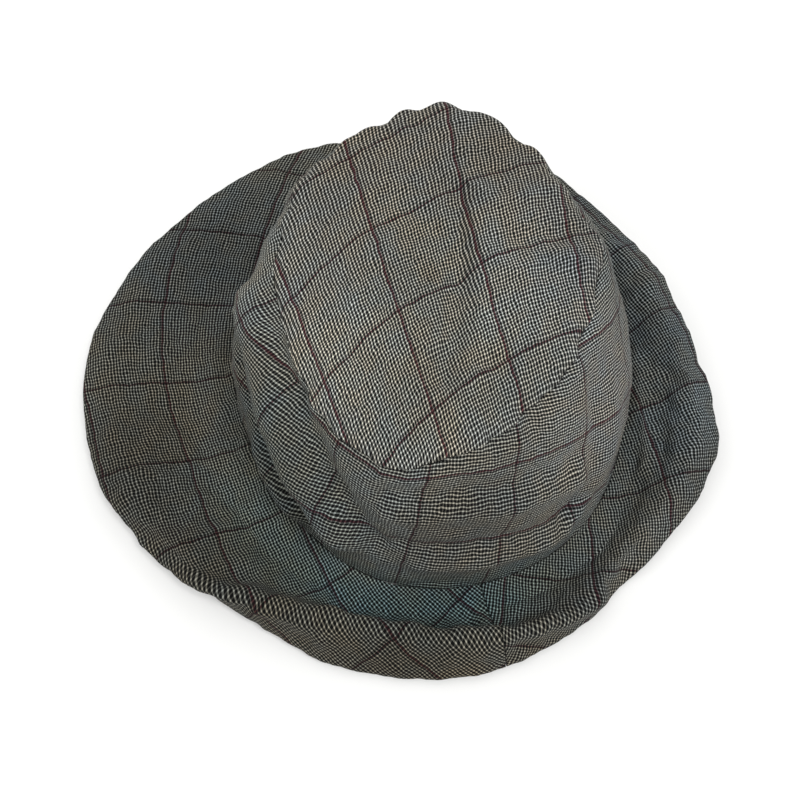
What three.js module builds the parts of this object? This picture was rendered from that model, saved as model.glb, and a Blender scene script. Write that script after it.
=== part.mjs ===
// Soft cloth bucket hat lying on its brim, as an assembly of its cut panels, linings and threads.
// Millimetres, +Z up, front of the hat towards -Y, wearer's left towards +X.
// Angles run anticlockwise seen from above, from the +X side; 90 degrees is the back.
import * as THREE from "three";

// Cloth layers: how deep each one starts below the outside face, and how thick it is.
const CLOTH = 0.8;
const BRIM_LAYERS = {
  upper: { depth: 0, thickness: CLOTH },
  interfacing: { depth: 1.25, thickness: 0.3 },
  under: { depth: 2.0, thickness: CLOTH },
};
const CROWN_LAYERS = {
  outer: { depth: 0, thickness: CLOTH },
  lining: { depth: 2.2, thickness: 0.6 },
  sweatband: { depth: 3.2, thickness: 1.0 },
  sizeTab: { depth: 4.6, thickness: 0.4 },
};
const BRIM_STACK = BRIM_LAYERS.under.depth + BRIM_LAYERS.under.thickness;

// Gaps between neighbours that are sewn edge to edge.
const SEAM_GAP = 0.5;
const INTERFACING_GAP = 0.9;
const SMALLEST_RADIUS = 55;
const THREAD_RADIUS = 0.2;
const THREAD_SIDES = 5;
const BRIM_THREAD_DEPTH = 1.3;
const CROWN_THREAD_DEPTH = 1.5;
const LINING_THREAD_DEPTH = 3.5;
const SWEATBAND_THREAD_DEPTH = 4.8;

// Where the seams of the brim and the bands are.
const BACK_SEAM = THREE.MathUtils.degToRad(87);
const FRONT_SEAM = BACK_SEAM + Math.PI;
const FULL_TURN = 2 * Math.PI;

// Facets: steps round the whole hat, and the rows of each panel as fractions of its width.
const STEPS_AROUND = 48;
const BRIM_ROWS = [0.012, 0.12, 0.25, 0.42, 0.58, 0.75, 0.93, 1];
const WALL_ROWS = [0, 0.15, 0.33, 0.5, 0.67, 0.84, 1];
const LINING_ROWS = [0.03, 0.2, 0.4, 0.68, 0.95];
const SWEATBAND_ROWS = LINING_ROWS.slice(0, 3);
const TIP_ROWS = [0, 0.2, 0.4, 0.6, 0.8, 0.982];
const TIP_LINING_ROWS = [0, 0.25, 0.5, 0.75, 0.93];
const TAB_ROWS = [0.16, 0.245, 0.33];
const TAB_HALF_ANGLE = 0.13;

// The slumped shape, as rings at every 30 degrees: distance from the crown's axis, and height.
const rings = {
  brimEdge: {
    radius: [134, 141, 154, 164, 164, 166, 156, 135, 134, 133, 130, 140],
    height: [20, 18, 15, 12, 12, 13, 14, 8, 5, 4.5, 6, 12],
  },
  brimRidge: {
    radius: [122, 126, 136, 144, 148, 149, 141, 130, 119, 123, 120, 126],
    height: [25, 20, 15, 12, 12, 14, 17, 19, 18, 16, 12, 20],
  },
  brimValley: {
    radius: [108, 108, 108, 106, 107, 108, 102, 100, 103, 105, 107, 108],
    height: [13, 6, 1, 1, 1, 1, 1, 1, 1, 1, 1, 7],
  },
  crownBase: {
    radius: [99, 97, 94, 92, 93, 94, 86, 86, 93, 96, 98, 97],
    height: [6, 5, 5, 5, 5, 5, 5, 4, 4, 4, 4, 6],
  },
  crownMiddle: {
    radius: [98, 100, 102, 98, 93, 88, 80, 80, 86, 87, 88, 92],
    height: [38, 40, 42, 44, 44, 42, 38, 36, 36, 37, 38, 38],
  },
  tipSeam: {
    radius: [79, 90, 107, 98, 82, 67, 61, 64, 70, 64, 62, 66],
    height: [86, 88, 91, 90, 86, 80, 80, 80, 80, 82, 83, 85],
  },
};

// The flat top sags to this point, with a shallow crease running from front to back.
const TIP_CENTRE = new THREE.Vector3(8, 18, 84);
const CREASE_DEPTH = 5;
const CREASE_WIDTH = 16;
const CREASE_X = 14;

// A smooth value at any angle from twelve values round the hat.
function roundTheHat(values, angle) {
  const count = values.length;
  const place = (angle / FULL_TURN) * count;
  const first = Math.floor(place);
  const t = place - first;
  const at = (k) => values[(((first + k) % count) + count) % count];
  const [a, b, c, d] = [at(-1), at(0), at(1), at(2)];
  return b + 0.5 * t * (c - a + t * (2 * a - 5 * b + 4 * c - d + t * (3 * (b - c) + d - a)));
}

// A smooth value at fraction s from values at uneven stations between 0 and 1.
function betweenStations(stations, values, s) {
  const slope = (i) => {
    const low = Math.max(i - 1, 0);
    const high = Math.min(i + 1, stations.length - 1);
    return (values[high] - values[low]) / (stations[high] - stations[low]);
  };
  let i = 0;
  while (i < stations.length - 2 && s > stations[i + 1]) i += 1;
  const span = stations[i + 1] - stations[i];
  const t = (s - stations[i]) / span;
  const [t2, t3] = [t * t, t * t * t];
  return (2 * t3 - 3 * t2 + 1) * values[i] + (t3 - 2 * t2 + t) * span * slope(i)
    + (3 * t2 - 2 * t3) * values[i + 1] + (t3 - t2) * span * slope(i + 1);
}

// A surface through a list of rings; fraction 0 is the first ring and 1 is the last.
function loft(ringNames, stations, lowest) {
  return (angle, s) => {
    const value = (kind) => betweenStations(
      stations, ringNames.map((name) => roundTheHat(rings[name][kind], angle)), s);
    const radius = value("radius");
    const height = Math.max(value("height"), lowest);
    return new THREE.Vector3(radius * Math.cos(angle), radius * Math.sin(angle), height);
  };
}

const brimSurface = loft(["crownBase", "brimValley", "brimRidge", "brimEdge"], [0, 0.2, 0.7, 1], BRIM_STACK);
const wallSurface = loft(["crownBase", "crownMiddle", "tipSeam"], [0, 0.5, 1], BRIM_STACK);

function tipSurface(angle, s) {
  const seam = wallSurface(angle, 1);
  const point = new THREE.Vector3().lerpVectors(TIP_CENTRE, seam, s);
  point.z = THREE.MathUtils.lerp(TIP_CENTRE.z, seam.z, s * s);
  const across = (point.x - CREASE_X) / CREASE_WIDTH;
  point.z -= CREASE_DEPTH * Math.exp(-across * across) * (1 - s * s);
  return point;
}

// The point a given depth inside a surface, measured square to it.
function pointBelow(surface, angle, s, depth) {
  const step = 0.01;
  const low = Math.max(s, 0.02) - step;
  const alongS = surface(angle, low + 2 * step).sub(surface(angle, low));
  const alongAngle = surface(angle + step, low + step).sub(surface(angle - step, low + step));
  const outward = surface === wallSurface ? alongAngle.cross(alongS) : alongS.cross(alongAngle);
  if (surface === tipSurface && s === 0) outward.set(0, 0, 1);
  return surface(angle, s).addScaledVector(outward.normalize(), -depth);
}

// A closed solid from two faces of a panel given as rows of points; faces end up pointing out.
function solidBetween(outerRows, innerRows, closedAround, pole) {
  const positions = [];
  const triangles = [];
  const store = (rows) => rows.map((row) => row.map((p) => positions.push(p.x, p.y, p.z) / 3 - 1));
  const outer = store(outerRows);
  const inner = store(innerRows);
  const quad = (a, b, c, d) => triangles.push(a, b, c, a, c, d);
  const columns = outer.length;
  const lastRow = outer[0].length - 1;
  const stretches = closedAround ? columns : columns - 1;
  for (let i = 0; i < stretches; i += 1) {
    const j = (i + 1) % columns;
    for (let k = 0; k < lastRow; k += 1) {
      if (pole && k === 0) {
        triangles.push(outer[0][0], outer[i][1], outer[j][1], inner[0][0], inner[j][1], inner[i][1]);
        continue;
      }
      quad(outer[i][k], outer[i][k + 1], outer[j][k + 1], outer[j][k]);
      quad(inner[i][k], inner[j][k], inner[j][k + 1], inner[i][k + 1]);
    }
    quad(outer[i][lastRow], inner[i][lastRow], inner[j][lastRow], outer[j][lastRow]);
    if (!pole) quad(outer[i][0], outer[j][0], inner[j][0], inner[i][0]);
  }
  if (!closedAround) {
    for (let k = 0; k < lastRow; k += 1) {
      const end = columns - 1;
      quad(outer[0][k], inner[0][k], inner[0][k + 1], outer[0][k + 1]);
      quad(outer[end][k], outer[end][k + 1], inner[end][k + 1], inner[end][k]);
    }
  }
  return facingOut(positions, triangles);
}

function facingOut(positions, triangles) {
  const corner = (index) => new THREE.Vector3().fromArray(positions, 3 * index);
  let volume = 0;
  for (let i = 0; i < triangles.length; i += 3) {
    const [a, b, c] = [0, 1, 2].map((k) => corner(triangles[i + k]));
    volume += a.dot(b.cross(c));
  }
  if (volume < 0) triangles.reverse();
  const geometry = new THREE.BufferGeometry();
  geometry.setAttribute("position", new THREE.Float32BufferAttribute(positions, 3));
  geometry.setIndex(triangles);
  geometry.computeVertexNormals();
  return geometry;
}

// A panel cut from a surface: its layer, the angles of its columns and the fractions of its rows.
// A panel of the flat top closes on itself and starts at its middle point.
function panel(surface, layer, angles, fractions) {
  const isTop = surface === tipSurface;
  const rows = (depth) => angles.map((angle) => (
    fractions.map((s) => pointBelow(surface, angle, s, depth))));
  return solidBetween(rows(layer.depth), rows(layer.depth + layer.thickness), isTop, isTop);
}

// Evenly spaced values from low to high.
const evenly = (low, high, steps) => (
  Array.from({ length: steps + 1 }, (_, i) => low + ((high - low) * i) / steps));

// Columns right round the hat, with no seam.
const roundColumns = () => evenly(0, FULL_TURN, STEPS_AROUND).slice(0, -1);

// Columns from one seam to another, with the two end ones moved back by half the seam's gap.
function betweenSeams(from, to, gap) {
  const steps = Math.round((STEPS_AROUND * (to - from)) / FULL_TURN);
  const angles = evenly(from, to, steps);
  const half = gap / 2 / SMALLEST_RADIUS;
  angles[0] += half;
  angles[steps] -= half;
  return angles;
}

// A band that goes once round and meets itself at the back seam.
const bandColumns = () => betweenSeams(BACK_SEAM, BACK_SEAM + FULL_TURN, SEAM_GAP);

// One half of the brim, from one seam to the other.
function brimHalfColumns(side, gap) {
  const start = side === "left" ? BACK_SEAM - Math.PI : BACK_SEAM;
  return betweenSeams(start, start + Math.PI, gap);
}

// A thread along a closed ring on a surface.
function ringThread(surface, s, depth) {
  const points = roundColumns().map((angle) => pointBelow(surface, angle, s, depth));
  const curve = new THREE.CatmullRomCurve3(points, true);
  return new THREE.TubeGeometry(curve, STEPS_AROUND, THREAD_RADIUS, THREAD_SIDES, true);
}

// A thread along a seam at one angle, from one fraction to another.
function seamThread(surface, angle, low, high, depth) {
  const steps = 8;
  const points = evenly(low, high, steps).map((s) => pointBelow(surface, angle, s, depth));
  const outline = new THREE.EllipseCurve(0, 0, THREAD_RADIUS, THREAD_RADIUS);
  const section = new THREE.Shape(outline.getPoints(THREAD_SIDES + 1).slice(1));
  const extrudePath = new THREE.CatmullRomCurve3(points);
  return new THREE.ExtrudeGeometry(section, { steps, extrudePath });
}

const FINISHES = {
  check: { color: 0x5e5f5a, roughness: 0.9 },
  brim: { color: 0x404544, roughness: 0.9 },
  stiffener: { color: 0xb9b6ac, roughness: 0.9 },
  lining: { color: 0x2b2c30, roughness: 0.75 },
  twill: { color: 0x1f2024, roughness: 0.85 },
  satin: { color: 0xd8d4c8, roughness: 0.8 },
  thread: { color: 0x24242a, roughness: 0.6 },
};

const hat = new THREE.Group();

function add(name, geometry, finish) {
  const mesh = new THREE.Mesh(geometry, new THREE.MeshStandardMaterial({ ...finish, metalness: 0 }));
  mesh.name = name;
  hat.add(mesh);
}

// Outer cloth: the flat top and the wall, sewn along the tip seam.
add("crown_tip", panel(tipSurface, CROWN_LAYERS.outer, roundColumns(), TIP_ROWS), FINISHES.check);
add("side_band", panel(wallSurface, CROWN_LAYERS.outer, bandColumns(), WALL_ROWS), FINISHES.check);

// Brim: three layers, each in two halves; the stiff middle one stops short of the edge.
for (const side of ["left", "right"]) {
  const cloth = brimHalfColumns(side, SEAM_GAP);
  const stiffener = brimHalfColumns(side, INTERFACING_GAP);
  const shortRows = BRIM_ROWS.slice(0, -1);
  add(`brim_upper_${side}`, panel(brimSurface, BRIM_LAYERS.upper, cloth, BRIM_ROWS), FINISHES.brim);
  add(`interfacing_${side}`, panel(brimSurface, BRIM_LAYERS.interfacing, stiffener, shortRows),
    FINISHES.stiffener);
  add(`brim_under_${side}`, panel(brimSurface, BRIM_LAYERS.under, cloth, BRIM_ROWS), FINISHES.brim);
}

// Inside: lining of the top and wall, sweatband and a blank size tab at the back.
add("tip_lining", panel(tipSurface, CROWN_LAYERS.lining, roundColumns(), TIP_LINING_ROWS),
  FINISHES.lining);
add("side_lining", panel(wallSurface, CROWN_LAYERS.lining, bandColumns(), LINING_ROWS),
  FINISHES.lining);
add("sweatband", panel(wallSurface, CROWN_LAYERS.sweatband, bandColumns(), SWEATBAND_ROWS),
  FINISHES.twill);
const tabColumns = evenly(BACK_SEAM - TAB_HALF_ANGLE, BACK_SEAM + TAB_HALF_ANGLE, 4);
add("size_tab", panel(wallSurface, CROWN_LAYERS.sizeTab, tabColumns, TAB_ROWS), FINISHES.satin);

// Threads that run right round: name, surface, fraction across it and depth.
const RING_THREADS = [
  ["tip_seam_thread", wallSurface, 0.972, CROWN_THREAD_DEPTH],
  ["brim_seam_thread", wallSurface, 0.04, CROWN_THREAD_DEPTH],
  ["brim_edge_thread", brimSurface, 0.965, BRIM_THREAD_DEPTH],
  ["lining_seam_thread", wallSurface, 0.93, LINING_THREAD_DEPTH],
  ["sweatband_thread", wallSurface, 0.06, SWEATBAND_THREAD_DEPTH],
];
for (const [name, surface, fraction, depth] of RING_THREADS) {
  add(name, ringThread(surface, fraction, depth), FINISHES.thread);
}

// Threads of the short seams: name, surface, angle, lowest and highest fraction, and depth.
const SEAM_THREADS = [
  ["front_seam_thread", brimSurface, FRONT_SEAM, 0.05, 0.93, BRIM_THREAD_DEPTH],
  ["back_seam_thread", brimSurface, BACK_SEAM, 0.05, 0.93, BRIM_THREAD_DEPTH],
  ["band_seam_thread", wallSurface, BACK_SEAM, 0.08, 0.93, CROWN_THREAD_DEPTH],
];
for (const [name, surface, angle, low, high, depth] of SEAM_THREADS) {
  add(name, seamThread(surface, angle, low, high, depth), FINISHES.thread);
}

// The origin is the middle of the hat's outline, on the surface it lies on.
const box = new THREE.Box3().setFromObject(hat, true);
hat.position.set(-(box.min.x + box.max.x) / 2, -(box.min.y + box.max.y) / 2, -box.min.z);

export default hat;
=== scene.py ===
# A soft checked bucket hat lying on its brim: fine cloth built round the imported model.
# Shapes are worked out in millimetres and stored in metres.  Angles run anticlockwise from +X.
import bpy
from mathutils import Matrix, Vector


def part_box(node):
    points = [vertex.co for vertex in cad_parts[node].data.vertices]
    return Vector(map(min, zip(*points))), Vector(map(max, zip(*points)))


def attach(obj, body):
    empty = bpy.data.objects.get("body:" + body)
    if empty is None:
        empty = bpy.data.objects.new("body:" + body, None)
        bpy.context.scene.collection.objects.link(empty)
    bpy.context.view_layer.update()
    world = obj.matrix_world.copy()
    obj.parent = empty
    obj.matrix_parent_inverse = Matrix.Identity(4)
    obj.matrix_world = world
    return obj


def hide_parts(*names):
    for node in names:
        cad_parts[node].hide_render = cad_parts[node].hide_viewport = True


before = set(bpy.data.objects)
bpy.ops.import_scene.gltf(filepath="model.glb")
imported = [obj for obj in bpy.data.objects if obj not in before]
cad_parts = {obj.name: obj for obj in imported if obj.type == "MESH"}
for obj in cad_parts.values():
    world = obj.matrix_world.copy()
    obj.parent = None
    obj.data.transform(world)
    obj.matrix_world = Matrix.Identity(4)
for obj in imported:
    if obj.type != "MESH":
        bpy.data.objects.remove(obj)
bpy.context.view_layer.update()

import math

import bmesh
import bpy
import numpy as np
from mathutils import Vector

MM = 0.001
TURN = 2 * math.pi

# The slumped shape, as in the CAD: rings at every 30 degrees, distance from the crown's axis and height.
RINGS = {
    "brim_edge": ([134, 141, 154, 164, 164, 166, 156, 135, 134, 133, 130, 140],
                  [20, 18, 15, 12, 12, 13, 14, 8, 5, 4.5, 6, 12]),
    "brim_ridge": ([122, 126, 136, 144, 148, 149, 141, 130, 119, 123, 120, 126],
                   [25, 20, 15, 12, 12, 14, 17, 19, 18, 16, 12, 20]),
    "brim_valley": ([108, 108, 108, 106, 107, 108, 102, 100, 103, 105, 107, 108],
                    [13, 6, 1, 1, 1, 1, 1, 1, 1, 1, 1, 7]),
    "crown_base": ([99, 97, 94, 92, 93, 94, 86, 86, 93, 96, 98, 97],
                   [6, 5, 5, 5, 5, 5, 5, 4, 4, 4, 4, 6]),
    "crown_middle": ([98, 100, 102, 98, 93, 88, 80, 80, 86, 87, 88, 92],
                     [38, 40, 42, 44, 44, 42, 38, 36, 36, 37, 38, 38]),
    "tip_seam": ([79, 90, 107, 98, 82, 67, 61, 64, 70, 64, 62, 66],
                 [86, 88, 91, 90, 86, 80, 80, 80, 80, 82, 83, 85]),
}
BRIM_RINGS = (("crown_base", 0), ("brim_valley", 0.2), ("brim_ridge", 0.7), ("brim_edge", 1))
WALL_RINGS = (("crown_base", 0), ("crown_middle", 0.5), ("tip_seam", 1))
TIP_CENTRE = (8, 18, 84)
CREASE_X, CREASE_WIDTH, CREASE_DEPTH = 14, 16, 5

# Cloth layers, as depth below the outside face.
CLOTH = 0.8
BRIM_STACK = 2.8
LINING_DEPTH, LINING_THICKNESS = 2.2, 0.6
SWEATBAND_DEPTH, SWEATBAND_THICKNESS = 3.2, 1.0

BACK_SEAM = math.radians(87)
FRONT_SEAM = BACK_SEAM + math.pi

# The woven check: size of one check, and checks in one windowpane cell.
CHECK = 1.4
CELL = 28


# ---------------------------------------------------------------- smooth shapes

def around(values, angle):
    """A smooth value at any angle from values spaced evenly round the hat."""
    values = np.asarray(values, float)
    count = len(values)
    place = angle / TURN * count
    first = np.floor(place).astype(int)
    t = place - first
    a, b, c, d = (values[(first + k) % count] for k in (-1, 0, 1, 2))
    return b + 0.5 * t * (c - a + t * (2 * a - 5 * b + 4 * c - d + t * (3 * (b - c) + d - a)))


def between(stations, values, s):
    """A smooth value at fraction s from values at uneven stations from 0 to 1."""
    last = len(stations) - 1
    slopes = [(values[min(i + 1, last)] - values[max(i - 1, 0)])
              / (stations[min(i + 1, last)] - stations[max(i - 1, 0)]) for i in range(last + 1)]
    result = values[last] + 0 * s
    for i in range(last):
        span = stations[i + 1] - stations[i]
        t = (s - stations[i]) / span
        piece = ((2 * t**3 - 3 * t**2 + 1) * values[i] + (t**3 - 2 * t**2 + t) * span * slopes[i]
                 + (3 * t**2 - 2 * t**3) * values[i + 1] + (t**3 - t**2) * span * slopes[i + 1])
        inside = (s >= stations[i]) & (s < stations[i + 1])
        result = np.where(inside, piece, result)
    return result


def loft(ring_list, angle, s):
    """Points on the surface through a list of rings."""
    stations = [station for _, station in ring_list]
    radius, height = (between(stations, [around(RINGS[name][k], angle) for name, _ in ring_list], s)
                      for k in (0, 1))
    height = np.maximum(height, BRIM_STACK)
    return np.stack([radius * np.cos(angle), radius * np.sin(angle), height], -1)


def brim_surface(angle, s):
    return loft(BRIM_RINGS, angle, s)


def wall_surface(angle, s):
    return loft(WALL_RINGS, angle, s)


def tip_surface(angle, s):
    seam = wall_surface(angle, np.ones_like(s))
    centre = np.array(TIP_CENTRE, float)
    point = centre + (seam - centre) * s[..., None]
    crease = CREASE_DEPTH * np.exp(-((point[..., 0] - CREASE_X) / CREASE_WIDTH) ** 2)
    point[..., 2] = centre[2] + (seam[..., 2] - centre[2]) * s * s - crease * (1 - s * s)
    return point


def grid_normals(points, outward_first):
    """Unit normals of a grid of points; the first axis goes round and the second goes across."""
    round_step = np.gradient(points, axis=0)
    across_step = np.gradient(points, axis=1)
    normal = np.cross(round_step, across_step) if outward_first else np.cross(across_step, round_step)
    length = np.linalg.norm(normal, axis=-1, keepdims=True)
    return normal / np.maximum(length, 1e-9)


# ---------------------------------------------------------------- folds and wrinkles

# Folds that lie in the cloth: a path of (degrees, fraction across the panel), then width and height in mm.
FOLDS = {
    "wall": [
        ([(148, 0.75), (164, 0.81), (182, 0.76), (199, 0.68), (214, 0.56), (226, 0.42)], 10, 8),
        ([(170, 0.97), (196, 0.93), (211, 0.86), (223, 0.73), (231, 0.62), (238, 0.48)], 6, -5.5),
        ([(160, 0.50), (185, 0.42), (200, 0.30), (214, 0.20)], 7, -6),
        ([(188, 0.20), (206, 0.12)], 8, 4),
        ([(240, 0.86), (262, 0.84), (285, 0.76), (305, 0.64)], 4, -2.6),
        ([(240, 0.74), (262, 0.72), (285, 0.64), (302, 0.52)], 5, 3),
        ([(245, 0.52), (270, 0.50), (290, 0.38), (304, 0.28)], 4.5, -3),
        ([(250, 0.34), (275, 0.30), (292, 0.20)], 6, 3),
        ([(318, 0.80), (305, 0.50), (292, 0.28)], 4, -2.2),
        ([(326, 0.70), (314, 0.42), (300, 0.22)], 5, 2),
        ([(20, 0.80), (35, 0.40)], 7, 3),
        ([(75, 0.75), (95, 0.45), (120, 0.35)], 8, 3),
        ([(70, 0.45), (95, 0.22)], 6, -3),
    ],
    "brim": [
        ([(194, 1.02), (204, 0.86), (215, 0.66), (231, 0.60), (246, 0.60), (262, 0.62), (276, 0.70),
          (288, 0.84)], 5.5, 4),
        ([(200, 0.78), (215, 0.48), (231, 0.40), (246, 0.40), (262, 0.42), (276, 0.50)], 6, -2),
        ([(150, 0.15), (153, 0.95)], 9, 1.8),
        ([(166, 0.20), (169, 1.00)], 8, -1.6),
        ([(181, 0.12), (184, 0.95)], 7, 1.6),
        ([(196, 0.05), (199, 0.40)], 5, 2.2),
        ([(351, 0.17), (337, 0.14), (322, 0.28)], 6, 4),
        ([(294, 1.02), (301, 0.74)], 8, -3.2),
        ([(5, 0.30), (8, 1.00)], 8, 2),
        ([(345, 0.50), (347, 1.00)], 8, -2),
        ([(325, 0.60), (330, 1.00)], 7, 2),
        ([(40, 0.40), (42, 1.00)], 12, 2.5),
        ([(80, 0.40), (84, 1.00)], 12, -2.5),
    ],
}
# Folds in the crown's flat top: a path of (x, y) in mm from the crown's axis, then width and height.
TIP_FOLDS = [
    ([(32, 53), (25, 31), (16, 8), (7, -12), (-4, -31)], 5, -2.6),
    ([(42, 50), (35, 28), (26, 5), (17, -15), (8, -32)], 7, 1.8),
    ([(-28, -57), (-23, -47)], 3, -1.6),
    ([(24, -67), (22, -57)], 3, -1.6),
    ([(-62, -11), (-52, -8)], 4, -1.8),
    ([(62, 6), (75, -4)], 6, 2.2),
    ([(50, 20), (72, 16)], 5, -1.5),
    ([(60, 38), (74, 45)], 7, 2),
    ([(38, 76), (42, 90)], 9, 2),
    ([(-6, 80), (-10, 99)], 9, -1),
    ([(-30, 75), (-37, 92)], 8, 1.2),
    ([(-60, 40), (-50, 10)], 6, 1.5),
    ([(-48, 30), (-36, -8)], 7, -1.2),
]
# Plane waves in each random field.
WAVES = 14
# Small unevenness of washed linen: wavelength in mm, random seed and height in mm.
UNEVENNESS = ((38, 11, 0.45), (11, 12, 0.24), (5, 13, 0.08))
# Fraction of a panel over which the base seam and the tip seam hold the cloth down.
BASE_HOLD, TIP_HOLD = {"brim": 0.06, "wall": 0.05}, 0.08
# The crown's top edge rolls over its seam: depth and reach in mm.
SEAM_ROUNDING, SEAM_REACH = 3.0, 12
# The roll puckers: share of its depth, wavelength in mm, and radius of the ring that it is drawn on.
SEAM_PUCKER, PUCKER_WAVELENGTH, PUCKER_RING = 0.22, 13, 80
# Lumps along the crown's top edge: angle, half width in degrees and height in mm.
RIM_LUMPS = ((62, 9, 2), (78, 7, 0.8), (92, 9, 1.2), (112, 8, 1.2), (130, 8, 1), (36, 9, 1.6),
             (22, 5, -0.8), (5, 8, 1.5), (150, 8, 1), (172, 8, -1.2), (196, 5, -1.2), (292, 4, -1.2),
             (316, 10, 1.5))
LUMP_REACH, LUMP_RISE = 16, 0.6


def ripples(points, wavelength, seed):
    """A smooth random field of about unit height, as a sum of plane waves."""
    rng = np.random.default_rng(seed)
    total = 0
    for _ in range(WAVES):
        direction = rng.normal(size=3)
        direction /= np.linalg.norm(direction)
        length = wavelength * rng.uniform(0.7, 1.5)
        total = total + np.sin(points @ direction * TURN / length + rng.uniform(0, TURN))
    return total / math.sqrt(WAVES / 2)


def bump(x, centre, width):
    return np.exp(-((x - centre) / width) ** 2)


def angle_gap(angle, centre_degrees):
    """Degrees from an angle to a centre, between -180 and 180."""
    return (np.degrees(angle) - centre_degrees + 180) % 360 - 180


def path_distance(x, y, path):
    """Distance from points (x, y) to a path of straight stretches."""
    nearest = np.full(x.shape, 1e9)
    for (x_a, y_a), (x_b, y_b) in zip(path, path[1:]):
        run_x, run_y = x_b - x_a, y_b - y_a
        t = np.clip(((x - x_a) * run_x + (y - y_a) * run_y) / (run_x**2 + run_y**2), 0, 1)
        nearest = np.minimum(nearest, np.hypot(x - x_a - t * run_x, y - y_a - t * run_y))
    return nearest


# Millimetres per radian round each panel and across it, near enough for placing folds.
PANEL_SIZE = {"wall": (90, 84), "brim": (118, 55), "tip": (70, 75)}


def folds(kind, angle, s, points):
    """Height of all of a panel's folds."""
    total = np.zeros(angle.shape)
    if kind == "tip":
        for path, width, height in TIP_FOLDS:
            total += height * bump(path_distance(points[..., 0], points[..., 1], path), 0, width)
        return total
    around_mm, across_mm = PANEL_SIZE[kind]
    for path, width, height in FOLDS[kind]:
        middle = path[len(path) // 2][0]
        flat = [(math.radians(degrees - middle) * around_mm, part * across_mm) for degrees, part in path]
        x = np.radians(angle_gap(angle, middle)) * around_mm
        total += height * bump(path_distance(x, s * across_mm, flat), 0, width)
    return total


def wrinkles(kind, angle, s, points):
    """Height of the folds and of the small unevenness of washed linen, which seams hold down."""
    base_hold = np.clip(s / BASE_HOLD[kind], 0, 1) if kind in BASE_HOLD else 1
    tip_hold = 1 if kind == "brim" else np.clip((1 - s) / TIP_HOLD, 0, 1)
    uneven = sum(height * ripples(points, wavelength, seed) for wavelength, seed, height in UNEVENNESS)
    return base_hold * tip_hold * (folds(kind, angle, s, points) + uneven)


def round_seam(kind, angle, s, points):
    """Rolls the crown's top edge over its seam, with small puckers along it."""
    if kind == "brim":
        return points
    from_seam = (1 - s) * PANEL_SIZE[kind][1]
    near = np.clip(1 - from_seam / SEAM_REACH, 0, 1) ** 2
    ring = np.stack([np.cos(angle), np.sin(angle), 0 * angle], -1)
    pucker = 1 + SEAM_PUCKER * ripples(ring * PUCKER_RING, PUCKER_WAVELENGTH, 14)
    inward = np.stack([-np.cos(angle), -np.sin(angle), -np.ones_like(angle)], -1)
    lump = sum(height * bump(angle_gap(angle, degrees), 0, width) for degrees, width, height in RIM_LUMPS)
    spread = bump(from_seam, 0, LUMP_REACH)
    outward = ring + np.array((0, 0, LUMP_RISE))
    rolled = points + (SEAM_ROUNDING * near * pucker)[..., None] * inward
    return rolled + (lump * spread)[..., None] * outward


# ---------------------------------------------------------------- the cloth settles

# The skin that is settled: its grid, and how many times real size it is simulated at.
SKIN_COLUMNS = 240
SKIN_ROWS = {"tip": 26, "wall": 34, "brim": 28}
SKIN_RANGE = {"tip": (0.06, 1), "wall": (1 - 1 / (SKIN_ROWS["wall"] - 1), 0),
              "brim": (1 / (SKIN_ROWS["brim"] - 1), 1)}
SKIN_SCALE = 10
# How much too large the skin is cut, and how firmly it is held at seams and between them.
GROWTH = 0.035
SEWN_HOLD, FREE_HOLD = 0.95, 0.45
SEWN_REACH = 0.02
SETTLE_FRAMES = 18
# The most that any point may move, in mm.
SETTLE_CAP = 6
# The doubled and topstitched brim edge buckles less than the cloth inside it.
EDGE_CALM_START, EDGE_CALM = 0.75, 0.65


def sculpted(kind, angle, s):
    """Points of a surface with its folds, before the cloth settles."""
    shape = {"brim": brim_surface, "wall": wall_surface, "tip": tip_surface}[kind]
    points = shape(angle, s)
    normals = grid_normals(points, kind == "wall")
    if kind == "tip":
        normals[:, 0] = (0, 0, 1)
    points = points + wrinkles(kind, angle, s, points)[..., None] * normals
    return round_seam(kind, angle, s, points)


def skin_rows():
    """One sheet from the middle of the crown's top to the brim's edge: rows of (kind, fraction)."""
    tip_rows = [("tip", s) for s in np.linspace(*SKIN_RANGE["tip"], SKIN_ROWS["tip"])]
    wall_rows = [("wall", s) for s in np.linspace(1, 0, SKIN_ROWS["wall"])[1:]]
    brim_rows = [("brim", s) for s in np.linspace(0, 1, SKIN_ROWS["brim"])[1:]]
    return tip_rows + wall_rows + brim_rows


def rows_of(kind, row_list):
    return [i for i, row in enumerate(row_list) if row[0] == kind]


def skin_start(row_list):
    """The sculpted shape as a grid of points, columns first."""
    angles = np.arange(SKIN_COLUMNS) * TURN / SKIN_COLUMNS
    start = np.zeros((SKIN_COLUMNS, len(row_list), 3))
    for kind in SKIN_ROWS:
        at = rows_of(kind, row_list)
        angle, s = np.meshgrid(angles, np.array([row_list[i][1] for i in at]), indexing="ij")
        start[:, at] = sculpted(kind, angle, s)
    return start


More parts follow.
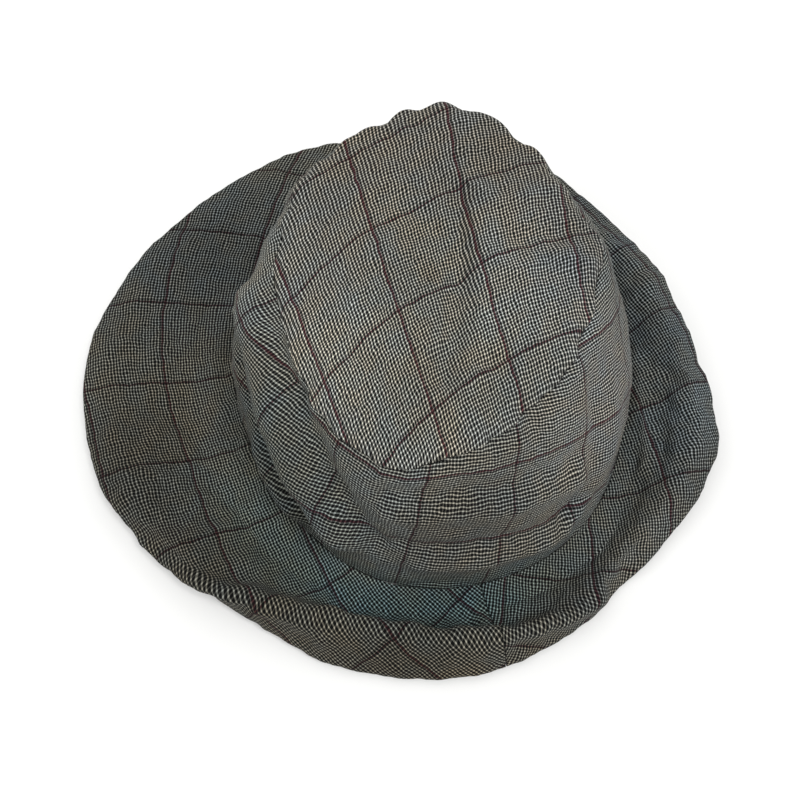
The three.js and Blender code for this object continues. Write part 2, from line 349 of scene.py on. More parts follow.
def skin_object(start, row_list):
    """A mesh object on the grid of points, with a vertex group that holds it in place."""
    columns, count = start.shape[:2]
    index = np.arange(columns * count).reshape(columns, count)
    after = np.roll(index, -1, axis=0)
    faces = np.stack([index[:, :-1], after[:, :-1], after[:, 1:], index[:, 1:]], -1).reshape(-1, 4)
    mesh = bpy.data.meshes.new("skin")
    mesh.from_pydata((start.reshape(-1, 3) * MM * SKIN_SCALE).tolist(), [], faces.tolist())
    skin = bpy.data.objects.new("skin", mesh)
    bpy.context.scene.collection.objects.link(skin)
    hold = skin.vertex_groups.new(name="hold")
    for column in range(columns):
        for row, (kind, s) in enumerate(row_list):
            near_base_or_tip = kind == "wall" and (s < SEWN_REACH or s > 1 - SEWN_REACH)
            near_edge = kind == "brim" and s > 1 - SEWN_REACH
            weight = SEWN_HOLD if near_base_or_tip or near_edge else FREE_HOLD
            hold.add([int(index[column, row])], weight, "REPLACE")
    return skin


def make_cloth(skin):
    cloth = skin.modifiers.new("cloth", "CLOTH")
    settings = cloth.settings
    settings.quality = 5
    settings.mass = 0.3
    settings.tension_stiffness = settings.compression_stiffness = 30
    settings.shear_stiffness = 8
    settings.bending_stiffness = 2
    settings.vertex_group_mass = "hold"
    settings.pin_stiffness = 1.0
    settings.shrink_min = -GROWTH
    settings.effector_weights.gravity = 0.15
    cloth.collision_settings.use_self_collision = False
    cloth.collision_settings.use_collision = False


def settled_points(skin, shape):
    """Where the skin's points are after the simulation, in millimetres."""
    scene = bpy.context.scene
    for number in range(1, SETTLE_FRAMES + 1):
        scene.frame_set(number)
    settled = skin.evaluated_get(bpy.context.evaluated_depsgraph_get()).data
    place = np.empty(shape[0] * shape[1] * 3, np.float32)
    settled.vertices.foreach_get("co", place)
    return place.reshape(*shape[:2], 3).astype(float) / (MM * SKIN_SCALE)


def settle():
    """Lets a slightly oversized skin buckle against the sculpted shape, and returns how far it moved."""
    row_list = skin_rows()
    start = skin_start(row_list)
    skin = skin_object(start, row_list)
    make_cloth(skin)
    moved = settled_points(skin, start.shape) - start
    mesh = skin.data
    bpy.data.objects.remove(skin)
    bpy.data.meshes.remove(mesh)
    bpy.context.scene.frame_set(1)
    far = np.linalg.norm(moved, axis=-1, keepdims=True)
    moved *= np.minimum(1, SETTLE_CAP / np.maximum(far, 1e-6))
    return {kind: moved[:, rows_of(kind, row_list)] for kind in SKIN_ROWS}


def settled_shift(kind, angle, s):
    """The settled skin's movement at any angle and fraction, smoothly interpolated."""
    if SETTLED is None:
        return 0
    table = SETTLED[kind]
    first_s, last_s = SKIN_RANGE[kind]
    row_place = np.clip((s - first_s) / (last_s - first_s), 0, 1) * (table.shape[1] - 1)
    column_place = angle / TURN * table.shape[0]
    shift = cubic_table(table, column_place, row_place)
    if kind == "brim":
        shift *= (1 - EDGE_CALM * np.clip((s - EDGE_CALM_START) / (1 - EDGE_CALM_START), 0, 1))[..., None]
    return shift


def cubic_weights(t):
    """Weights of four neighbours for a smooth curve that softens the steps of a table."""
    first, last = (1 - t) ** 3 / 6, t**3 / 6
    return first, (3 * t**3 - 6 * t**2 + 4) / 6, (-3 * t**3 + 3 * t**2 + 3 * t + 1) / 6, last


def cubic_table(table, column_place, row_place):
    columns, rows_count = table.shape[:2]
    column, row = np.floor(column_place).astype(int), np.floor(row_place).astype(int)
    column_weights = cubic_weights(column_place - column)
    row_weights = cubic_weights(row_place - row)
    total = 0
    for i, column_weight in enumerate(column_weights):
        for j, row_weight in enumerate(row_weights):
            at_row = np.clip(row + j - 1, 0, rows_count - 1)
            value = table[(column + i - 1) % columns, at_row]
            total = total + (column_weight * row_weight)[..., None] * value
    return total


# ---------------------------------------------------------------- where the check lies on each panel

# The flat top's check, in checks: at the crown's axis, then per mm of x and y, then how it is pulled askew.
TIP_ACROSS, TIP_ACROSS_X, TIP_ACROSS_Y, TIP_ACROSS_XY = 64, 0.73, -0.04, -0.0016
TIP_ALONG, TIP_ALONG_X, TIP_ALONG_Y, TIP_ALONG_XX, TIP_ALONG_YY = 23, -0.22, 0.64, 0.0022, 0.0008


def tip_cloth(angle, run, points):
    x, y = points[..., 0], points[..., 1]
    across = TIP_ACROSS + TIP_ACROSS_X * x + TIP_ACROSS_Y * y + TIP_ACROSS_XY * x * y
    along = TIP_ALONG + TIP_ALONG_X * x + TIP_ALONG_Y * y + TIP_ALONG_XX * x * x + TIP_ALONG_YY * y * y
    return across, along


def sector_cloth(turn, inner_radius, middle_degrees, across_shift, along_shift, direction):
    def cloth(angle, run, points):
        turned = np.radians(angle_gap(angle, middle_degrees)) * turn
        radius = inner_radius + run
        across = (radius * np.cos(turned) - inner_radius) / CHECK + across_shift
        along = direction * radius * np.sin(turned) / CHECK + along_shift
        return across, along
    return cloth


# Turn of the cut ring per turn of the hat, its inner radius in mm, the angle of its straight grain in
# degrees, its shifts across and along in checks, and its way round.
WALL_CLOTH = sector_cloth(0.317, 217, 220, -1.6, -27.9, 1)
BRIM_CLOTH = {"left": sector_cloth(0.63, 161, 9.5, 1.7, 42.6, 1),
              "right": sector_cloth(0.60, 151, 180, -22.2, -0.5, -1)}
UNDER_CLOTH = {"left": sector_cloth(0.61, 156, -4, 9, 5, -1),
               "right": sector_cloth(0.61, 156, 176, 14, 11, 1)}


# ---------------------------------------------------------------- meshes

# Columns of the CAD's flat top, and the fraction of the way to the seam that it reaches.
CAD_COLUMNS, CAD_TIP_REACH = 48, 0.982


def crown_axis():
    """Where the crown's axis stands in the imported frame, found from the flat top's box in the CAD."""
    angles = np.arange(CAD_COLUMNS) * TURN / CAD_COLUMNS
    rim = tip_surface(angles, np.full(CAD_COLUMNS, CAD_TIP_REACH))[:, :2]
    low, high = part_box("crown_tip")
    middle = (rim.min(0) + rim.max(0)) / 2 * MM
    return np.array([(low[0] + high[0]) / 2 - middle[0], (low[1] + high[1]) / 2 - middle[1], 0])


AXIS = crown_axis()


def add_mesh(name, points, faces, layers):
    """A mesh object from points in millimetres round the crown's axis, with named vertex layers."""
    mesh = bpy.data.meshes.new(name)
    mesh.from_pydata((points * MM + AXIS).tolist(), [], faces)
    for layer, values in layers.items():
        attribute = mesh.attributes.new(layer, "FLOAT_VECTOR", "POINT")
        attribute.data.foreach_set("vector", values.astype(np.float32).ravel())
    mesh.polygons.foreach_set("use_smooth", [True] * len(mesh.polygons))
    mesh.update()
    obj = bpy.data.objects.new(name, mesh)
    bpy.context.scene.collection.objects.link(obj)
    return obj


def shell(name, outer, inner, layers, closed, pole=False):
    """A closed shell between two grids of points.  closed joins its first and last columns."""
    columns, rows = outer.shape[:2]
    count = columns * rows
    index = np.arange(count).reshape(columns, rows)
    column = np.arange(columns if closed else columns - 1)
    after = (column + 1) % columns
    first = 1 if pole else 0

    def quads(a, b, c, d):
        return np.stack([a.ravel(), b.ravel(), c.ravel(), d.ravel()], 1)

    low, high = index[:, first:-1], index[:, first + 1:]
    top = quads(low[column], high[column], high[after], low[after])
    parts = [top, top[:, ::-1] + count]
    rim = index[:, -1]
    parts.append(quads(rim[column], rim[column] + count, rim[after] + count, rim[after]))
    if not pole:
        start = index[:, 0]
        parts.append(quads(start[column], start[after], start[after] + count, start[column] + count))
    if not closed:
        for end, flip in ((index[0], 1), (index[-1], -1)):
            parts.append(quads(end[:-1], end[:-1] + count, end[1:] + count, end[1:])[:, ::flip])
    points = np.concatenate([outer.reshape(-1, 3), inner.reshape(-1, 3)])
    both = {key: np.tile(value.reshape(-1, 3), (2, 1)) for key, value in layers.items()}
    obj = add_mesh(name, points, np.concatenate(parts).tolist(), both)
    if pole:
        close_pole(obj, index, count, columns)
    return obj


def close_pole(obj, index, count, columns):
    """Fills the middle of a round panel with one fan of triangles on each face."""
    work = bmesh.new()
    work.from_mesh(obj.data)
    work.verts.ensure_lookup_table()
    for offset, flip in ((0, False), (count, True)):
        middle = work.verts[int(index[0, 0]) + offset]
        for i in range(columns):
            a = work.verts[int(index[i, 1]) + offset]
            b = work.verts[int(index[(i + 1) % columns, 1]) + offset]
            face = work.faces.new((middle, b, a) if flip else (middle, a, b))
            face.smooth = True
    loose = [v for v in work.verts if not v.link_faces]
    bmesh.ops.delete(work, geom=loose, context="VERTS")
    bmesh.ops.recalc_face_normals(work, faces=work.faces)
    work.to_mesh(obj.data)
    work.free()


# Height of the lowest cloth above the floor, and how softly it bends there, in mm.
FLOOR_GAP, FLOOR_BEND = 0.05, 0.5
# The fraction of the brim where its layers start to draw together, how far they do and how roundly.
EDGE_ROLL_START, EDGE_ROLL, EDGE_ROUNDNESS = 0.955, 0.85, 0.98


def limp(kind, angles, row_values):
    """Grid points and normals of a surface as it finally lies, for the given columns and rows."""
    angle, s = np.meshgrid(angles, row_values, indexing="ij")
    points = sculpted(kind, angle, s) + settled_shift(kind, angle, s)
    if kind == "tip":
        points[:, 0] = points[:, 1].mean(0)
    points[..., 2] = soft_floor(points[..., 2], BRIM_STACK + FLOOR_GAP)
    normals = grid_normals(points, kind == "wall")
    if kind == "tip":
        normals[:, 0] = normals[:, 1].mean(0) / np.linalg.norm(normals[:, 1].mean(0))
    return angle, s, points, normals


def soft_floor(height, lowest):
    """Keeps heights above the lowest, with a soft bend instead of a corner."""
    above = height - lowest
    return lowest + 0.5 * (above + np.sqrt(above**2 + FLOOR_BEND**2))


def distance_along(kind, angles, row_values):
    """Distance along the unfolded surface: from the base on the brim, down from the seam on the wall."""
    angle, s = np.meshgrid(angles, np.linspace(0, 1, 101), indexing="ij")
    shape = wall_surface if kind == "wall" else brim_surface
    steps = np.linalg.norm(np.diff(shape(angle, s), axis=1), axis=-1)
    length = np.concatenate([np.zeros((len(angles), 1)), np.cumsum(steps, axis=1)], axis=1)
    if kind == "wall":
        length = length[:, -1:] - length
    return np.stack([np.interp(row_values, s[0], line) for line in length])


def roll_edge(depth, s):
    """Draws the brim's layers together where they are sewn and turned at the edge."""
    near = np.clip((s - EDGE_ROLL_START) / (1 - EDGE_ROLL_START), 0, 1)
    pull = 1 - np.sqrt(1 - EDGE_ROUNDNESS * near**2)
    return depth + (BRIM_STACK / 2 - depth) * EDGE_ROLL * pull


def panel(name, kind, angles, row_values, depth, thickness, cloth=None, tone_and_shade=None, closed=False):
    """A cloth panel cut from a surface, as a closed shell; checked cloth carries its check and its tone,
    which holds painted light and shade.

    row_values are fractions across the surface, and depth is below its outside face.
    """
    angle, s, points, normals = limp(kind, angles, row_values)
    layers = {}
    if cloth:
        run = distance_along(kind, angles, row_values)
        across, along = cloth(angle, run, points)
        layers = {"tone_and_shade": tone_and_shade(angle, s, points), "cloth": np.stack([across, along, 0 * across], -1)}
    outer_depth, inner_depth = depth + 0 * s, depth + thickness + 0 * s
    if kind == "brim":
        outer_depth, inner_depth = (roll_edge(value, s) for value in (outer_depth, inner_depth))
    outer = points - outer_depth[..., None] * normals
    inner = points - inner_depth[..., None] * normals
    if kind == "brim":
        outer[..., 2] = np.maximum(outer[..., 2], BRIM_STACK - depth)
        inner[..., 2] = np.maximum(inner[..., 2], BRIM_STACK - depth - thickness)
    return shell(name, outer, inner, layers, closed, pole=kind == "tip")


SETTLED = settle()


# ---------------------------------------------------------------- tones, with painted light and shade

# How much, and over how many mm, a tone drifts.
TONE_DRIFT, TONE_WAVELENGTH = 0.07, 60


def patches(base, spots):
    """A tone that is base all over, moved towards each spot's colour near it; the spots may be painted
    light and shade.
    """
    def tone_and_shade(angle, s, points):
        colour = np.ones(angle.shape + (3,)) * np.array(base, float)
        for degrees, fraction, wide, tall, spot in spots:
            near = bump(angle_gap(angle, degrees), 0, wide) * bump(s, fraction, tall)
            colour += near[..., None] * (np.array(spot, float) - colour)
        drift = 1 + TONE_DRIFT * ripples(points, TONE_WAVELENGTH, 41)[..., None]
        return colour * drift
    return tone_and_shade


# A spot is its angle in degrees, fraction across the panel, half width in degrees, half height, colour.
OLIVE, TEAL = (0.34, 0.31, 0.26), (0.34, 0.50, 0.55)
NAVY, SLATE = (0.46, 0.52, 0.58), (0.33, 0.36, 0.38)
# Painted light and shade on the crown's top: darker towards the back, where less light falls, and lighter
# at the left edge; the right side is darker and bluer.
TIP_TONE_AND_SHADE = patches((0.86, 0.84, 0.80), [
    (60, 0.9, 55, 0.35, (0.72, 0.69, 0.66)),
    (350, 0.8, 30, 0.4, (0.74, 0.76, 0.80)),
    (200, 0.7, 40, 0.4, (0.94, 0.94, 0.92)),
])
# Painted shade on the wall, which is darker than the crown's top: darker on the front and the left, lighter
# on the right, as the light falls; the foot of the front wall is also darker and blue-green.
WALL_TONE_AND_SHADE = patches((0.74, 0.75, 0.73), [
    (255, 0.55, 40, 0.45, (0.43, 0.42, 0.40)),
    (255, 0.0, 45, 0.18, (0.38, 0.48, 0.50)),
    (200, 0.45, 36, 0.55, (0.38, 0.43, 0.43)),
    (325, 0.6, 30, 0.6, (0.80, 0.80, 0.82)),
])
# Painted light and shade on the brim, which is darker than the crown's top all over: the lighter patch in
# the left valley is painted light where the key light casts shadow, and the darker far left and back are
# painted shade where light falls off. The teal, navy and olive patches change the colour, and the olive one
# also darkens the outer front edge.
BRIM_TONE_AND_SHADE = patches((0.44, 0.45, 0.43), [
    (205, 0.25, 30, 0.30, (0.52, 0.60, 0.58)),
    (240, 0.25, 28, 0.28, TEAL),
    (262, 0.22, 22, 0.26, (0.34, 0.50, 0.54)),
    (250, 0.95, 50, 0.38, OLIVE),
    (130, 0.6, 30, 0.5, SLATE),
    (165, 0.5, 16, 0.5, (0.42, 0.40, 0.35)),
    (350, 0.6, 45, 0.6, NAVY),
    (190, 0.75, 34, 0.4, (0.33, 0.32, 0.29)),
    (300, 0.8, 20, 0.4, (0.44, 0.45, 0.45)),
])
UNDER_TONE = patches((0.42, 0.45, 0.46), [])


# ---------------------------------------------------------------- materials

class Nodes:
    """A short way to write a node tree."""

    def __init__(self, name):
        self.material = bpy.data.materials.new(name)
        self.material.use_nodes = True
        self.tree = self.material.node_tree
        self.shader = self.tree.nodes["Principled BSDF"]

    def add(self, kind, **settings):
        node = self.tree.nodes.new(kind)
        for key, value in settings.items():
            setattr(node, key, value)
        return node

    def link(self, source, target):
        self.tree.links.new(source, target)

    def feed(self, socket, value):
        if isinstance(value, bpy.types.NodeSocket):
            self.link(value, socket)
        else:
            socket.default_value = value

    def math(self, operation, *values):
        node = self.add("ShaderNodeMath", operation=operation)
        for socket, value in zip(node.inputs, values):
            self.feed(socket, value)
        return node.outputs[0]

    def mix(self, factor, a, b, blend="MIX"):
        node = self.add("ShaderNodeMix", data_type="RGBA", blend_type=blend)
        self.feed(node.inputs["Factor"], factor)
        self.feed(node.inputs[6], a)
        self.feed(node.inputs[7], b)
        return node.outputs[2]

    def attribute(self, name):
        return self.add("ShaderNodeAttribute", attribute_name=name).outputs["Vector"]

    def noise(self, vector, scale, detail=2.0):
        node = self.add("ShaderNodeTexNoise")
        node.inputs["Scale"].default_value = scale
        node.inputs["Detail"].default_value = detail
        self.link(vector, node.inputs["Vector"])
        return node.outputs["Fac"]

    def split(self, vector):
        node = self.add("ShaderNodeSeparateXYZ")
        self.link(vector, node.inputs[0])
        return node.outputs

    def join(self, x, y, z=0.0):
        node = self.add("ShaderNodeCombineXYZ")
        for socket, value in zip(node.inputs, (x, y, z)):
            self.feed(socket, value)
        return node.outputs[0]

    def steps(self, value, low, high):
        """0 below low, 1 above high, smooth in between."""
        node = self.add("ShaderNodeMapRange", interpolation_type="SMOOTHSTEP")
        self.feed(node.inputs["Value"], value)
        node.inputs["From Min"].default_value = low
        node.inputs["From Max"].default_value = high
        return node.outputs["Result"]

    def relief(self, height, strength, metres):
        """Gives the shader bumps from a height."""
        node = self.add("ShaderNodeBump")
        node.inputs["Strength"].default_value = strength
        node.inputs["Distance"].default_value = metres
        self.link(height, node.inputs["Height"])
        self.link(node.outputs[0], self.shader.inputs["Normal"])


# Thread colours.
BLACK_THREAD = (0.004, 0.0045, 0.005, 1)
CREAM_THREAD = (0.80, 0.79, 0.73, 1)
BURGUNDY_SHADE = (0.018, 0.006, 0.009, 1)
STRONG_LINE = (0.120, 0.042, 0.050, 1)
WEAK_LINE = (0.100, 0.040, 0.048, 1)
# How far the threads wander: noise scale per check, and amount in checks.
DRIFTS = ((0.11, 1.3), (0.45, 0.7))
# Where in a check's wave its light half starts and is full.
LIGHT_FROM, LIGHT_FULL = 0.35, 0.65
# Brightness of light warp over dark weft, and of light weft over dark warp.
WARP_ALONE, WEFT_ALONE = 0.30, 0.12
# Half widths of the windowpane's lines in checks, how soft their edges are and how dense they are.
WEAK_WIDTH, STRONG_WIDTH, LINE_EDGE = 0.30, 0.33, 0.12
LINE_DENSITY = 0.95
# Threads are uneven: the least and the range of their brightness, and the same for long slubs.
UNEVEN_LEAST, UNEVEN_RANGE = 0.45, 1.1
SLUB_LEAST, SLUB_RANGE = 0.62, 0.38
# Patches that are browner and bluer: their tints, noise scales, noise levels and strength.
BROWNED, BLUED = (1.05, 1.0, 0.92, 1), (0.93, 0.99, 1.04, 1)
TINT_SCALES, TINT_FROM, TINT_FULL, TINT_STRENGTH = (0.04, 0.13), 0.38, 0.62, 0.6


def light_threads(n, position):
    """1 in the light half of each check, 0 in its dark half."""
    wave = n.math("SINE", n.math("MULTIPLY", position, TURN))
    return n.steps(wave, LIGHT_FROM, LIGHT_FULL)


def pane_line(n, position, half_width):
    """1 on the overcheck line at the start of every cell."""
    in_cell = n.math("PINGPONG", position, CELL / 2)
    return n.steps(in_cell, half_width + LINE_EDGE, half_width - LINE_EDGE)


def wandering(n, cloth):
    """The cloth's two thread positions, in checks, with the threads a little astray."""
    across, along, _ = n.split(cloth)
    for scale, amount in DRIFTS:
        drift_across = n.math("SUBTRACT", n.noise(cloth, scale), 0.5)
        drift_along = n.math("SUBTRACT", n.noise(cloth, scale * 1.3), 0.5)
        across = n.math("ADD", across, n.math("MULTIPLY", drift_across, amount))
        along = n.math("ADD", along, n.math("MULTIPLY", drift_along, amount))
    return across, along


def check_level(n, across, along, warp, weft):
    """How light each place of the shepherd's check is, with uneven threads."""
    light_column = n.math("ADD", WARP_ALONE, n.math("MULTIPLY", weft, 1 - WARP_ALONE))
    dark_column = n.math("MULTIPLY", weft, WEFT_ALONE)
    level = n.math("ADD", n.math("MULTIPLY", warp, light_column),
                   n.math("MULTIPLY", n.math("SUBTRACT", 1.0, warp), dark_column))
    grain = n.noise(n.join(across, along), 1.7, 3.0)
    return n.math("MULTIPLY", level, n.math("ADD", UNEVEN_LEAST, n.math("MULTIPLY", grain, UNEVEN_RANGE)))


def slub_shade(n, across, along):
    """Long thick and thin places in the threads of both ways, as a grey."""
    slub_across = n.noise(n.join(n.math("MULTIPLY", across, 3), n.math("MULTIPLY", along, 0.1)), 1.0)
    slub_along = n.noise(n.join(n.math("MULTIPLY", across, 0.1), n.math("MULTIPLY", along, 3)), 1.0)
    both = n.math("ADD", slub_across, slub_along)
    shade = n.math("ADD", SLUB_LEAST, n.math("MULTIPLY", both, SLUB_RANGE))
    return n.join(shade, shade, shade)


def check_material(name):
    """Shepherd's check of black and cream threads with a burgundy windowpane, toned by the panel's tone,
    which holds painted light and shade.
    """
    n = Nodes(name)
    cloth = n.attribute("cloth")
    across, along = wandering(n, cloth)
    warp, weft = light_threads(n, across), light_threads(n, along)
    colour = n.mix(check_level(n, across, along, warp, weft), BLACK_THREAD, CREAM_THREAD)
    weak = n.math("MULTIPLY", pane_line(n, along, WEAK_WIDTH), LINE_DENSITY)
    strong = n.math("MULTIPLY", pane_line(n, across, STRONG_WIDTH), LINE_DENSITY)
    colour = n.mix(weak, colour, n.mix(warp, BLACK_THREAD, WEAK_LINE))
    colour = n.mix(strong, colour, n.mix(weft, BURGUNDY_SHADE, STRONG_LINE))
    colour = n.mix(1.0, colour, slub_shade(n, across, along), "MULTIPLY")
    # The panel's tone multiplies in here, with its painted light and shade.
    colour = n.mix(1.0, colour, n.attribute("tone_and_shade"), "MULTIPLY")
    for scale in TINT_SCALES:
        tint = n.mix(n.steps(n.noise(cloth, scale, 3.0), TINT_FROM, TINT_FULL), BROWNED, BLUED)
        colour = n.mix(TINT_STRENGTH, colour, n.mix(1.0, colour, tint, "MULTIPLY"))
    n.link(colour, n.shader.inputs["Base Color"])
    n.shader.inputs["Roughness"].default_value = 0.95
    n.shader.inputs["Specular IOR Level"].default_value = 0.12
    n.shader.inputs["Sheen Weight"].default_value = 0.02
    n.shader.inputs["Sheen Roughness"].default_value = 0.5
    weave_bump(n, across, along)
    return n.material


def weave_bump(n, across, along):
    """Relief of single threads, two to a check each way, with some fuzz."""
    over = n.math("ABSOLUTE", n.math("SINE", n.math("MULTIPLY", across, TURN)))
    under = n.math("ABSOLUTE", n.math("SINE", n.math("MULTIPLY", along, TURN)))
    fuzz = n.noise(n.join(across, along), 3.0, 3.0)
    height = n.math("ADD", n.math("ADD", over, under), n.math("MULTIPLY", fuzz, 1.2))
    n.relief(height, 0.35, 0.00012)


MOTTLE_SCALE, MOTTLE_LEAST, MOTTLE_RANGE = 90.0, 0.7, 0.6


def plain_cloth(name, colour, roughness, pitch):
    """A fine plain or twill weave in one colour."""
    n = Nodes(name)
    place = n.add("ShaderNodeTexCoord").outputs["Object"]
    wave = n.add("ShaderNodeTexWave", wave_type="BANDS", bands_direction="DIAGONAL")
    wave.inputs["Scale"].default_value = 1 / pitch
    wave.inputs["Distortion"].default_value = 0.6
    n.link(place, wave.inputs["Vector"])
    mottle = n.noise(place, MOTTLE_SCALE, 3.0)
    shade = n.math("ADD", MOTTLE_LEAST, n.math("MULTIPLY", mottle, MOTTLE_RANGE))
    colour_out = n.mix(1.0, (*colour, 1), n.join(shade, shade, shade), "MULTIPLY")
    n.link(colour_out, n.shader.inputs["Base Color"])
    n.shader.inputs["Roughness"].default_value = roughness
    n.relief(wave.outputs["Fac"], 0.4, 0.0001)
    return n.material


CHECK_MATERIAL = check_material("check_linen")
LINING_MATERIAL = plain_cloth("lining_weave", (0.016, 0.016, 0.020), 0.5, 0.003)
SWEATBAND_MATERIAL = plain_cloth("sweatband_twill", (0.010, 0.010, 0.012), 0.85, 0.002)
STIFF_MATERIAL = plain_cloth("interfacing_felt", (0.48, 0.46, 0.42), 0.95, 0.004)
TAB_MATERIAL = plain_cloth("size_tab_satin", (0.62, 0.59, 0.52), 0.45, 0.001)
THREAD_MATERIAL = plain_cloth("thread_ply", (0.018, 0.016, 0.020), 0.6, 0.0006)


def dress(obj, material, node):
    """Gives a piece its material and slot, hangs it on the root body and hides the CAD node that it stands
    for.
    """
    obj.data.materials.append(material)
    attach(obj, "root")
    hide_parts(node)


# ---------------------------------------------------------------- cloth panels

# Gaps at a panel's ends, in mm along a circle of SEAM_RADIUS.
SEAM_RADIUS, CLOTH_GAP, STIFFENER_GAP = 90, 0.3, 1.5
STIFFENER_DEPTH, STIFFENER_THICKNESS = 1.2, 0.35
UNDER_DEPTH = 2.0
TAB_DEPTH, TAB_THICKNESS, TAB_HALF_ANGLE = 4.5, 0.4, 0.13


def columns(start, end, gap, steps):
    """Angles from one seam to another, leaving half the gap at each end."""
    half = gap / 2 / SEAM_RADIUS
    return np.linspace(start + half, end - half, steps)


ROUND = np.arange(520) * TURN / 520
BAND = columns(BACK_SEAM, BACK_SEAM + TURN, CLOTH_GAP, 521)
HALVES = {"left": BACK_SEAM - math.pi, "right": BACK_SEAM}


def add_crown():
    tip = panel("tip_cloth", "tip", ROUND, np.linspace(0, 1, 66), 0, CLOTH,
                tip_cloth, TIP_TONE_AND_SHADE, closed=True)
    dress(tip, CHECK_MATERIAL, "crown_tip")
    wall = panel("wall_cloth", "wall", BAND, np.linspace(0, 0.999, 70), 0, CLOTH, WALL_CLOTH, WALL_TONE_AND_SHADE)
    dress(wall, CHECK_MATERIAL, "side_band")


def add_brim(side, start):
    """One half of the brim: upper cloth, stiffener and under cloth."""
    fine = columns(start, start + math.pi, CLOTH_GAP, 340)
    coarse = columns(start, start + math.pi, STIFFENER_GAP, 120)
    top = panel(f"brim_top_{side}", "brim", fine, np.linspace(0.005, 1, 72), 0, CLOTH,
                BRIM_CLOTH[side], BRIM_TONE_AND_SHADE)
    dress(top, CHECK_MATERIAL, f"brim_upper_{side}")
    stiff = panel(f"brim_stiffener_{side}", "brim", coarse, np.linspace(0.03, 0.92, 30),
                  STIFFENER_DEPTH, STIFFENER_THICKNESS)
    dress(stiff, STIFF_MATERIAL, f"interfacing_{side}")
    under = panel(f"brim_bottom_{side}", "brim", fine, np.linspace(0.005, 1, 50), UNDER_DEPTH, CLOTH,
                  UNDER_CLOTH[side], UNDER_TONE)
    dress(under, CHECK_MATERIAL, f"brim_under_{side}")


def add_inside():
    """Lining, sweatband and blank size tab."""
    tip = panel("tip_lining_cloth", "tip", ROUND[::2], np.linspace(0, 0.95, 30),
                LINING_DEPTH, LINING_THICKNESS, closed=True)
    dress(tip, LINING_MATERIAL, "tip_lining")
    wall = panel("wall_lining_cloth", "wall", BAND[::2], np.linspace(0.02, 0.955, 36),
                 LINING_DEPTH, LINING_THICKNESS)
    dress(wall, LINING_MATERIAL, "side_lining")
    band = panel("sweatband_tape", "wall", BAND[::2], np.linspace(0.02, 0.4, 16),
                 SWEATBAND_DEPTH, SWEATBAND_THICKNESS)
    dress(band, SWEATBAND_MATERIAL, "sweatband")
    across_tab = np.linspace(BACK_SEAM - TAB_HALF_ANGLE, BACK_SEAM + TAB_HALF_ANGLE, 40)
    tab = panel("size_tab_ribbon", "wall", across_tab, np.linspace(0.16, 0.33, 14),
                TAB_DEPTH, TAB_THICKNESS)
    dress(tab, TAB_MATERIAL, "size_tab")


add_crown()
for side, start in HALVES.items():
    add_brim(side, start)
add_inside()


# ---------------------------------------------------------------- stitches

# Seams: node, surface, depth below the outside face, and the path's angles and fractions.
EVERY_WAY = np.linspace(0, TURN, 700)
DOWN = np.linspace(0, 1, 60)
SEAMS = {
    "tip_seam_thread": ("wall", 1.5, EVERY_WAY, 0 * EVERY_WAY + 0.965),
    "brim_seam_thread": ("wall", 1.5, EVERY_WAY, 0 * EVERY_WAY + 0.03),
    "brim_edge_thread": ("brim", 1.3, EVERY_WAY, 0 * EVERY_WAY + 0.955),
    "lining_seam_thread": ("wall", 3.1, EVERY_WAY, 0 * EVERY_WAY + 0.93),
    "sweatband_thread": ("wall", 4.4, EVERY_WAY, 0 * EVERY_WAY + 0.06),
    "front_seam_thread": ("brim", 1.0, 0 * DOWN + FRONT_SEAM, 0.03 + 0.92 * DOWN),
    "back_seam_thread": ("brim", 1.0, 0 * DOWN + BACK_SEAM, 0.03 + 0.92 * DOWN),
    "band_seam_thread": ("wall", 1.5, 0 * DOWN + BACK_SEAM, 0.05 + 0.88 * DOWN),
}
STITCH, STITCH_GAP, THREAD_RADIUS, THREAD_SIDES = 2.4, 0.6, 0.2, 6
# A stitch's thickness along it: fraction of its length and of the thread's radius.
STITCH_PROFILE = ((0, 0.25), (0.12, 0.85), (0.5, 1), (0.88, 0.85), (1, 0.25))
SAMPLE_STEP = 0.004


def surface_line(kind, depth, angles, fractions):
    """Points at a depth below the final surface, along a path on it."""
    points = np.empty((len(angles), 3))
    for i, (angle, s) in enumerate(zip(angles, fractions)):
        _, _, patch, normals = limp(kind, np.array([angle - SAMPLE_STEP, angle, angle + SAMPLE_STEP]),
                                    np.array([s - SAMPLE_STEP, s, s + SAMPLE_STEP]))
        points[i] = patch[1, 1] - depth * normals[1, 1]
    return points


def stitch_points(centre):
    """Rings of points round one stitch's middle line."""
    forward = centre[-1] - centre[0]
    forward /= np.linalg.norm(forward)
    side = np.cross(forward, (0.1, 0.2, 1))
    side /= np.linalg.norm(side)
    up = np.cross(side, forward)
    points = []
    for (_, width), middle in zip(STITCH_PROFILE, centre):
        for k in range(THREAD_SIDES):
            turn = TURN * k / THREAD_SIDES
            ring = math.cos(turn) * side + math.sin(turn) * up
            points.append(middle + THREAD_RADIUS * width * ring)
    return points


def stitch_faces(base):
    """A tube between the rings that start at point number base, with flat ends."""
    faces = []
    for ring_number in range(len(STITCH_PROFILE) - 1):
        first = base + ring_number * THREAD_SIDES
        for k in range(THREAD_SIDES):
            a, b = first + k, first + (k + 1) % THREAD_SIDES
            faces.append((a, b, b + THREAD_SIDES, a + THREAD_SIDES))
    last = base + (len(STITCH_PROFILE) - 1) * THREAD_SIDES
    faces.append(tuple(base + k for k in reversed(range(THREAD_SIDES))))
    faces.append(tuple(last + k for k in range(THREAD_SIDES)))
    return faces


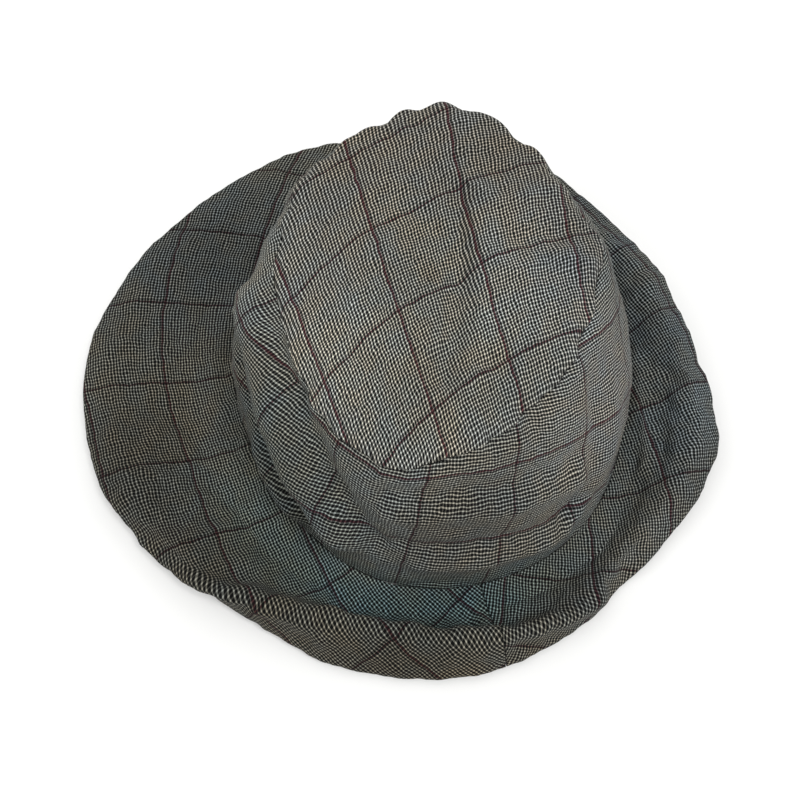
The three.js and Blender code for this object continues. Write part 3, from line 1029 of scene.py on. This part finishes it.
def stitches(name, line):
    """A row of separate stitches along a line, each a short tapered tube."""
    steps = np.linalg.norm(np.diff(line, axis=0), axis=1)
    length = np.concatenate([[0], np.cumsum(steps)])
    points, faces = [], []
    for number in range(int(length[-1] / (STITCH + STITCH_GAP))):
        start = number * (STITCH + STITCH_GAP)
        along = np.array([start + STITCH * part for part, _ in STITCH_PROFILE])
        centre = np.stack([np.interp(along, length, line[:, axis]) for axis in range(3)], -1)
        faces += stitch_faces(len(points))
        points += stitch_points(centre)
    return add_mesh(name, np.array(points), faces, {})


for node, (kind, depth, angles, fractions) in SEAMS.items():
    row = stitches(node.replace("thread", "stitches"), surface_line(kind, depth, angles, fractions))
    dress(row, THREAD_MATERIAL, node)


# ---------------------------------------------------------------- floor, light and camera

FLOOR_HALF_SIZE = 6
FLOOR_COLOUR = (0.86, 0.86, 0.85, 1)


def add_floor():
    paper = Nodes("floor_paper")
    paper.shader.inputs["Base Color"].default_value = FLOOR_COLOUR
    paper.shader.inputs["Roughness"].default_value = 0.9
    size = FLOOR_HALF_SIZE
    corners = [(-size, -size, 0), (size, -size, 0), (size, size, 0), (-size, size, 0)]
    mesh = bpy.data.meshes.new("floor")
    mesh.from_pydata(corners, [], [(0, 1, 2, 3)])
    mesh.materials.append(paper.material)
    floor = bpy.data.objects.new("floor", mesh)
    bpy.context.scene.collection.objects.link(floor)


def add_sun(name, towards, strength, softness_degrees):
    data = bpy.data.lights.new(name, "SUN")
    data.energy = strength
    data.angle = math.radians(softness_degrees)
    light = bpy.data.objects.new(name, data)
    light.rotation_mode = "QUATERNION"
    light.rotation_quaternion = (-Vector(towards)).to_track_quat("-Z", "Y")
    bpy.context.scene.collection.objects.link(light)


def add_world(strength):
    world = bpy.data.worlds.new("studio")
    world.use_nodes = True
    background = world.node_tree.nodes["Background"]
    background.inputs["Color"].default_value = (1, 1, 1, 1)
    background.inputs["Strength"].default_value = strength
    bpy.context.scene.world = world


# The point on the floor that the camera looks at, its angles in degrees, distance in metres and lens in mm.
CAMERA_TARGET = Vector((AXIS[0] - 0.0104, AXIS[1] + 0.0034, 0.0))
CAMERA_AZIMUTH, CAMERA_ELEVATION, CAMERA_DISTANCE = -18, 64, 0.421
CAMERA_LENS, SENSOR_WIDTH, CLIP_START = 38.25, 36, 0.01


def add_camera():
    azimuth, elevation = math.radians(CAMERA_AZIMUTH), math.radians(CAMERA_ELEVATION)
    back = Vector((math.sin(azimuth) * math.cos(elevation),
                   -math.cos(azimuth) * math.cos(elevation), math.sin(elevation)))
    data = bpy.data.cameras.new("camera")
    data.lens = CAMERA_LENS
    data.sensor_width = SENSOR_WIDTH
    camera = bpy.data.objects.new("camera", data)
    camera.location = CAMERA_TARGET + back * CAMERA_DISTANCE
    camera.rotation_mode = "QUATERNION"
    camera.rotation_quaternion = (-back).to_track_quat("-Z", "Y")
    data.clip_start = CLIP_START
    bpy.context.scene.collection.objects.link(camera)
    bpy.context.scene.camera = camera


add_floor()
add_sun("key", (0.25, -0.35, 0.95), 1.5, 20)
add_sun("fill", (-0.6, 0.1, 0.9), 0.4, 60)
add_world(0.75)
add_camera()
bpy.context.scene.view_settings.view_transform = "Standard"
